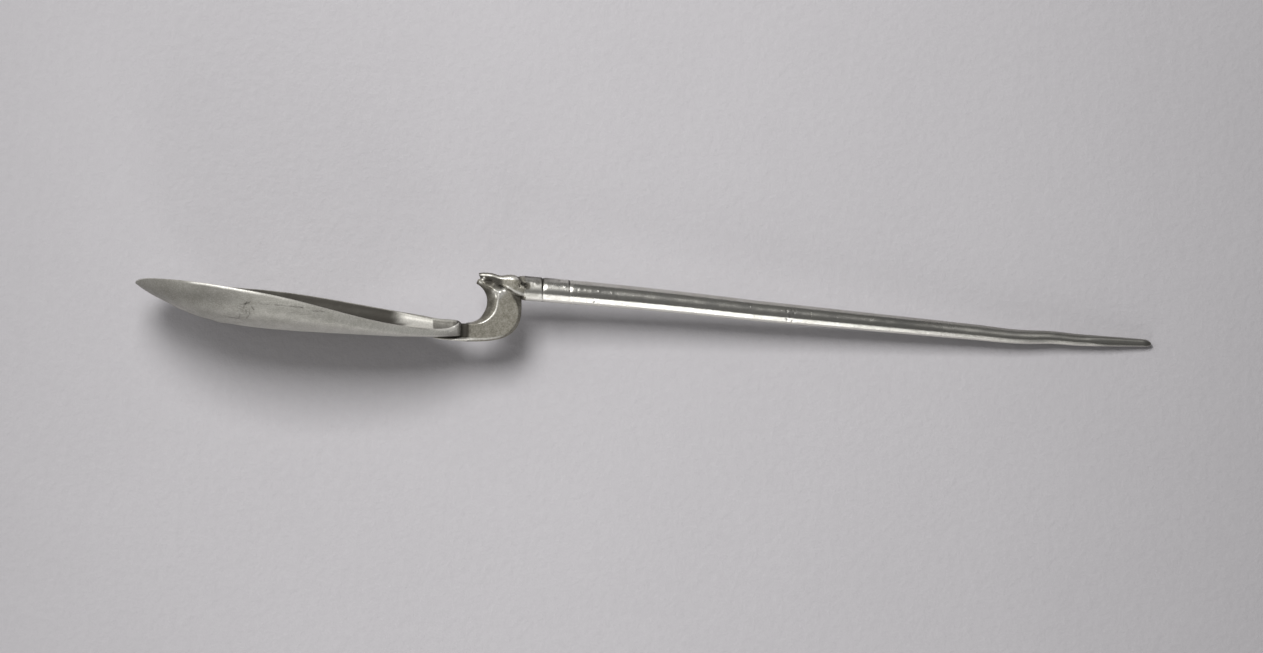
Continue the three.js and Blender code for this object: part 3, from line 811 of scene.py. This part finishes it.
def ring_line(along, at, depth, before, after):
    """A cut with a steep wall before its deepest place and a worn, hollow slope after it."""
    past = along - at
    steep = np.clip(1 + past / before, 0, 1) * (past <= 0)
    worn = np.clip(1 - past / after, 0, 1) ** 1.7 * (past > 0)
    return depth * (steep + worn)


def end_round(along):
    """1 up to the rounding of the end, then a quarter of an ellipse that leaves the end blunt."""
    end = np.clip((along - stem_length + end_rounding) / end_rounding, 0, 1)
    return np.sqrt(1 - 0.93 * end**2)


def stem_half(along):
    """Half thickness: a slow taper to the bend as a power of 1.3, a quicker straight one to the
    filed stretch, another to the point, and a round end."""
    half = mix(stem_radius, half_at_bend, np.clip(along / bend_at, 0, 1) ** 1.3)
    past_bend = mix(half_at_bend, half_at_filing, (along - bend_at) / (filed_from - bend_at))
    half = np.where(along > bend_at, past_bend, half)
    filed = mix(half_at_filing, half_at_end, (along - filed_from) / point_length)
    return np.where(along > filed_from, filed, half) * end_round(along)


def stem_axis(along):
    """A straight fall with a slight arch to the bend, then eased down onto the table as a square
    over 17 mm, with one shallow wave and a lift at the very end."""
    arch = 0.18 * MM * np.sin(np.pi * np.minimum(1, 2 * along / bend_at))
    straight = stem_height - stem_slope * along + arch
    left = np.maximum(0, 1 - (along - bend_at) / (17 * MM))
    wave = 0.3 * MM * hump(along, 92.5 * MM, 4 * MM)
    lift = end_lift * (1 - end_round(along))
    landed = (bend_height - half_at_bend) * left**2 + wave + stem_half(along) + lift
    return np.where(along < bend_at, straight, landed)


def dents(along, angle, places):
    """Sum of small bells at places given as distance, angle, depth, length and width."""
    total = np.zeros(np.broadcast(along, angle).shape)
    for at, turn, depth, length, width in places:
        rows = np.abs(along[:, 0] - at) < 3 * length
        apart = np.angle(np.exp(1j * (angle - turn)))
        bell = np.exp(-(((along[rows] - at) / length) ** 2) - (apart / width) ** 2)
        total[rows] += depth * bell
    return total


def stem_places():
    """Seeded small dents, most of them near the head, then nicks halfway down the near side, faint
    rises that break up its bright band, and the voids at the shoulder. The listed ones are given as
    place along the rod in mm, angle from the near side, and depth and length in mm."""
    draw = np.random.default_rng(12)
    count = 420
    at = stem_length * draw.uniform(0.0, 1.0, count) ** 1.5
    turn = draw.uniform(0, 2 * np.pi, count)
    depth = draw.uniform(-0.006, 0.014, count) * MM
    length = draw.uniform(0.16, 0.5, count) * MM
    width = draw.uniform(0.07, 0.2, count)
    places = list(zip(at, turn, depth, length, width))
    for at, turn, depth in (
        (45.9, 0.35, 0.035), (46.4, -0.15, 0.045), (46.8, 0.55, 0.03), (47.1, 0.1, 0.04),
        (47.4, 0.5, 0.03), (46.0, -0.6, 0.03), (46.9, -0.75, 0.03), (12.1, -0.75, 0.05),
    ):
        places.append((at * MM, near_side + turn, depth * MM, 0.12 * MM, 0.2))
    for at, turn, depth, length in (
        (1.2, 0.62, -0.05, 0.3), (1.75, 0.58, -0.05, 0.3), (5.1, 0.6, -0.03, 0.6),
        (6.95, 0.5, -0.035, 0.35), (9.6, 0.4, -0.012, 0.25), (10.6, 0.38, -0.014, 0.2),
        (11.5, 0.36, -0.012, 0.2), (12.9, 0.36, -0.025, 0.2), (15.2, 0.3, -0.025, 0.2),
    ):
        places.append((at * MM, near_side + turn, depth * MM, length * MM, 0.13))
    places.append((-0.05 * MM, void_at, 0.33 * MM, 0.46 * MM, 0.17))
    places.append((-0.05 * MM, far_void_at, 0.3 * MM, 0.3 * MM, 0.12))
    return places


def stem_marks(along, angle, sunk, filed):
    """Tarnish in dents, ring lines and the void, tarnish and a painted dark reflection on the
    collar's crown, fading towards the point, a painted sheen on the underside standing in for a
    reflection of
    the lit paper, and a matt collar and end: bells and soft steps over the place along the rod and
    the angle from its top."""
    from_top = np.abs(angle)
    steep_side = 0.03 * MM
    # Tarnish and a painted dark reflection along the collar's crown.
    crown = 0.75 * hump(angle, 0, 0.8) * (1 - smooth(along, 3 * MM, 8.5 * MM))
    first = hump(along, first_ring - steep_side, 0.2 * MM) * (1 - hump(from_top, 2.0, 0.5))
    second = hump(along, second_ring - steep_side, 0.18 * MM)
    second = second * mix(1, 0.1, smooth(from_top, 0.7, 1.2))
    void = 1.2 * hump(along, 0, 0.55 * MM) * hump(angle, void_at, 0.21)
    dull = 0.36 * hump(angle, math.radians(-76), 0.38) * (1 - smooth(along, 2.8 * MM, 3.2 * MM))
    dark = crown + first + second + void + dull + np.clip(sunk / (0.05 * MM), 0, 1)
    past_ring = smooth(along, 2.8 * MM, 3.4 * MM)
    faded = mix(0.12, 0.04, past_ring) * (1 - smooth(along, 7 * MM, 9 * MM))
    faded = faded + 0.5 * smooth(along, 30 * MM, 105 * MM)
    matt = mix(0.75, 0.35, past_ring) * (1 - smooth(along, 7.4 * MM, 10 * MM))
    matt = matt + 0.5 * smooth(along, 66 * MM, 80 * MM)
    # Painted sheen on the underside, standing in for the lit paper's reflection.
    painted_sheen = hump(angle, sheen_at, 0.35) * (1 - 0.6 * filed)
    return dict(
        hollow=np.clip(dark, 0, 1), worn=0.85 * painted_sheen, faded=faded, matt=matt + 0.5 * painted_sheen
    )


def stem_surface():
    """Rings in planes across the length, round with one long flat low on the near side, squarish
    where the point is filed. The flat is a bell as deep as half its reach squared, and the ring
    lines run out towards the underside."""
    along = np.concatenate(
        [
            np.linspace(0, 10 * MM, 190),
            np.linspace(10 * MM, stem_length - 2 * MM, 640)[1:],
            stem_length - 2 * MM * (1 - np.sin(np.linspace(0, np.pi / 2, 24)[1:])),
        ]
    )[:, None]
    angle = np.linspace(-np.pi, np.pi, 96, endpoint=False)[None, :]
    filed = smooth(along, filed_from - MM, filed_from + 3 * MM)
    cosine, sine = boxy(angle, 2 / mix(2, 3, filed))
    sunk = dents(along, angle, stem_places())
    flat = 1 - flat_reach**2 / 2 * hump(angle, flat_at, flat_reach) * (1 - filed)
    first = ring_line(along, first_ring, depth=0.17 * MM, before=0.16 * MM, after=0.8 * MM)
    second = ring_line(along, second_ring, depth=0.075 * MM, before=0.14 * MM, after=0.65 * MM)
    low = smooth(np.abs(angle), 1.2, 1.8)
    cut = first * mix(1, 0.25, low) + second * mix(1, 0.12, low)
    half = stem_half(along) * flat - sunk - cut
    x = np.broadcast_to(shoulder + along, half.shape)
    z = np.maximum(stem_axis(along) + half * cosine, 0)
    return np.stack([x, half * sine, z], axis=-1), stem_marks(along, angle, sunk, filed)


stem_grid, marks = stem_surface()
stem = mesh_from_grid("polished_stem", stem_grid, cap_ends=True, **marks)
stem.data.materials.append(
    silver(
        "polished_silver", bright=(0.66, 0.65, 0.61), dark=(0.5, 0.485, 0.44),
        roughness=0.21, metal=0.95, grain=0.42, brushed=0.25, pitted=0.5,
    )
)
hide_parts("stem")
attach(stem, "root")


# Solder
# Dull grey silver solder: the sunken fill between the bowl's heel and the arm, and the bead round
# the tenon between the head and the stem's shoulder, with the voids that it left on both sides.
# The fill is darkened all over with painted shade for the shadowed gap.

fill_half = 1.25 * MM
fill_low = 0.5 * MM
fill_high = 3.14 * MM
bead_radius = 2.151 * MM
heel_solder = silver(
    "heel_solder", bright=(0.3, 0.285, 0.25), dark=(0.2, 0.19, 0.16),
    roughness=0.65, metal=0.3, grain=0.5, brushed=0.1, pitted=0.5,
)
seam_solder = silver(
    "seam_solder", bright=(0.4, 0.38, 0.33), dark=(0.22, 0.205, 0.17),
    roughness=0.4, metal=0.75, grain=0.5, brushed=0.03, pitted=0.5,
)


def heel_fill():
    """Rounded blocks across the gap, drawn in by a hollow parabola between bowl and arm."""
    share = np.linspace(0, 1, 40)[:, None]
    x = mix(bowl_high.x - 0.12 * MM, arm_front + 0.1 * MM, share)
    pinch = 1 - (2 * share - 1) ** 2
    half = fill_half - 0.4 * MM * pinch
    high = fill_high - 0.06 * MM * pinch
    cosine, sine = boxy(np.linspace(0, 2 * np.pi, 64, endpoint=False), 0.5)
    y = half * cosine
    z = (high + fill_low) / 2 + (high - fill_low) / 2 * sine
    return np.stack([np.broadcast_to(x, y.shape), y, z], axis=-1)


def shoulder_bead():
    """A ring flush with the stem and the back of the head. Below the head it reaches further, to
    the back of the neck. It is sunk a little at the crown and deep at the two voids."""
    share = np.linspace(0, 1, 30)[:, None]
    angle = np.linspace(-np.pi, np.pi, 240, endpoint=False)[None, :]
    low = smooth(-np.cos(angle), 0.5, 0.62)
    x = mix(neck_back - mix(0.12, 0.42, low) * MM, shoulder + 0.06 * MM, share)
    sunk = 0.14 * hump(angle, 0, 0.4) * hump(share, 0.8, 0.2)
    sunk = sunk + 0.33 * hump(angle, void_at, 0.17) + 0.3 * hump(angle, far_void_at, 0.12)
    fillet = 0.22 * low * (1 - np.clip(share / 0.7, 0, 1)) ** 2
    radius = bead_radius - (sunk + fillet) * MM
    y = radius * np.sin(angle)
    z = stem_height + stem_slope * (shoulder - x) + radius * np.cos(angle)
    # Painted highlight low on both sides, carrying the stem's bright band.
    worn = 0.8 * hump(np.abs(angle), 2.0, 0.25)
    return np.stack([x, y, z], axis=-1), dict(hollow=np.clip(sunk / 0.06, 0, 1), worn=worn)


bead_grid, bead_marks = shoulder_bead()
for name, grid, marks, material, node in (
    # The fill's full tarnish mark is painted shade for the gap.
    ("heel_solder_fill", heel_fill(), dict(hollow=1.0), heel_solder, "heel_solder"),
    ("stem_solder_bead", bead_grid, bead_marks, seam_solder, "stem_solder"),
):
    piece = mesh_from_grid(name, grid, cap_ends=True, **marks)
    piece.data.materials.append(material)
    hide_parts(node)
    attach(piece, "root")


# Paper, lamps and camera
# The sheet of pale paper that the spoon lies against on its far side, seen square from the front.
# A lamp high on the left throws the main shadow and a low softbox gives the stem its bright band.

camera_azimuth = math.radians(-4)
camera_elevation = math.radians(3)
camera_roll = math.radians(0.7)
camera_distance = 5.0
aim = Vector((-2.15 * MM, 0, 2.8 * MM))
picture_pixels = 1263
pixel_size = 0.17495 * MM
paper_azimuth = math.radians(-4.5)
paper_gap = 0.05 * MM
paper_sides = [-1.2, 1.2]
paper_ends = [-1.0, 1.0]


def seen_from(azimuth, elevation):
    """Direction from the object to an eye at this azimuth and elevation."""
    level = math.cos(elevation)
    return Vector((math.sin(azimuth) * level, -math.cos(azimuth) * level, math.sin(elevation)))


to_camera = seen_from(camera_azimuth, camera_elevation)
camera_turn = to_camera.to_track_quat("Z", "Y").to_matrix().to_4x4()
camera_data = bpy.data.cameras.new("camera")
camera = bpy.data.objects.new("camera", camera_data)
bpy.context.scene.collection.objects.link(camera)
camera_data.lens = camera_data.sensor_width * camera_distance / (picture_pixels * pixel_size)
camera.matrix_world = (
    Matrix.Translation(aim + to_camera * camera_distance)
    @ camera_turn
    @ Matrix.Rotation(camera_roll, 4, "Z")
)
camera_data.clip_start = 0.01
camera_data.clip_end = 20
bpy.context.scene.camera = camera

# The paper stands as far back as the far side of the spoon reaches, seen along its own normal.
to_paper_eye = seen_from(paper_azimuth, camera_elevation)
paper_turn = to_paper_eye.to_track_quat("Z", "Y").to_matrix().to_4x4()
touching = [vertex.co for piece in (bowl, stem, casting) for vertex in piece.data.vertices]
paper_depth = max(-place.dot(to_paper_eye) for place in touching) + paper_gap
paper_grid = np.stack(np.meshgrid(paper_sides, paper_ends, [0.0], indexing="ij"), axis=-1)
paper = mesh_from_grid("paper", paper_grid.reshape(2, 2, 3), open_sheet=True)
paper.data.transform(Matrix.Translation(to_paper_eye * -paper_depth) @ paper_turn)


def felted_paper():
    """Pale paper with felted fibres and faint clouds, with painted shade that darkens it by the
    square of the way from the picture's middle for the lamps' fall-off, and clear from its back so
    that it hides nothing from behind."""
    nodes = Nodes("pale_paper")
    shader = nodes.shader
    shader.inputs["Roughness"].default_value = 0.9
    shader.inputs["Specular IOR Level"].default_value = 0.1
    felt = nodes.noise(nodes.mapped(), 700, detail=5.0, rough=0.65)
    cloud = nodes.noise(nodes.mapped(), 30, detail=2.0)
    shade = nodes.math("MULTIPLY_ADD", felt, 0.6, nodes.math("MULTIPLY", cloud, 0.4))
    tint = nodes.mix(shade, (0.535, 0.517, 0.535, 1), (0.622, 0.605, 0.622, 1))
    sides = nodes.add("ShaderNodeSeparateXYZ")
    nodes.put(sides.inputs[0], nodes.place)
    # Painted shade: the paper darkens towards the sides as the lamps' light falls off.
    off_middle = nodes.math("POWER", nodes.math("ADD", sides.outputs["X"], 0.013), 2.0)
    painted_falloff = nodes.math("MINIMUM", nodes.math("MULTIPLY", off_middle, 14.0), 0.24)
    nodes.put(shader.inputs["Base Color"], nodes.mix(painted_falloff, tint, (0, 0, 0, 1)))
    nodes.put(shader.inputs["Normal"], nodes.bump(felt, 0.6, 0.3 * MM))
    clear = nodes.add("ShaderNodeBsdfTransparent")
    sided = nodes.add("ShaderNodeMixShader")
    geometry = nodes.add("ShaderNodeNewGeometry")
    nodes.put(sided.inputs[0], geometry.outputs["Backfacing"])
    nodes.put(sided.inputs[1], shader.outputs[0])
    nodes.put(sided.inputs[2], clear.outputs[0])
    output = nodes.tree.nodes["Material Output"]
    nodes.put(output.inputs["Surface"], sided.outputs[0])
    return nodes.material


paper.data.materials.append(felted_paper())


def softbox(name, place, width, height, watts):
    """A rectangular lamp at a place given right, up and forward of the spoon, facing it and level
    with the picture."""
    data = bpy.data.lights.new(name, "AREA")
    data.shape = "RECTANGLE"
    data.size = width
    data.size_y = height
    data.energy = watts
    lamp = bpy.data.objects.new(name, data)
    bpy.context.scene.collection.objects.link(lamp)
    away = Vector(place).normalized()
    level = (Vector((1, 0, 0)) - away * away.x).normalized()
    axes = Matrix((level, away.cross(level), away)).transposed().to_4x4()
    lamp.matrix_world = Matrix.Translation(aim + camera_turn @ Vector(place)) @ camera_turn @ axes
    lamp.visible_camera = False


softbox("high_lamp", place=(-0.23, 0.48, 0.9), width=0.4, height=0.42, watts=8.8)
softbox("low_softbox", place=(-0.07, -0.8, 0.27), width=0.3, height=0.56, watts=1.5)
softbox("side_strip", place=(-0.62, 0.22, 0.6), width=0.16, height=0.6, watts=0.9)

# The room's dim light falls from left to right, and the camera itself sees an even grey.
world = bpy.data.worlds.new("room")
bpy.context.scene.world = world
world.use_nodes = True
world_nodes = world.node_tree.nodes
join = world.node_tree.links.new
background = world_nodes["Background"]
direction = world_nodes.new("ShaderNodeTexCoord").outputs["Generated"]
split = world_nodes.new("ShaderNodeSeparateXYZ")
join(direction, split.inputs[0])
sideways = world_nodes.new("ShaderNodeMapRange")
join(split.outputs["X"], sideways.inputs["Value"])
for socket, value in zip(list(sideways.inputs)[1:5], (-0.7, 0.5, 0.21, 0.09)):
    socket.default_value = value
light_path = world_nodes.new("ShaderNodeLightPath")
chosen = world_nodes.new("ShaderNodeMix")
join(light_path.outputs["Is Camera Ray"], chosen.inputs["Factor"])
join(sideways.outputs["Result"], chosen.inputs["A"])
chosen.inputs["B"].default_value = 0.55
join(chosen.outputs["Result"], background.inputs["Color"])

scene = bpy.context.scene
scene.view_settings.view_transform = "Standard"
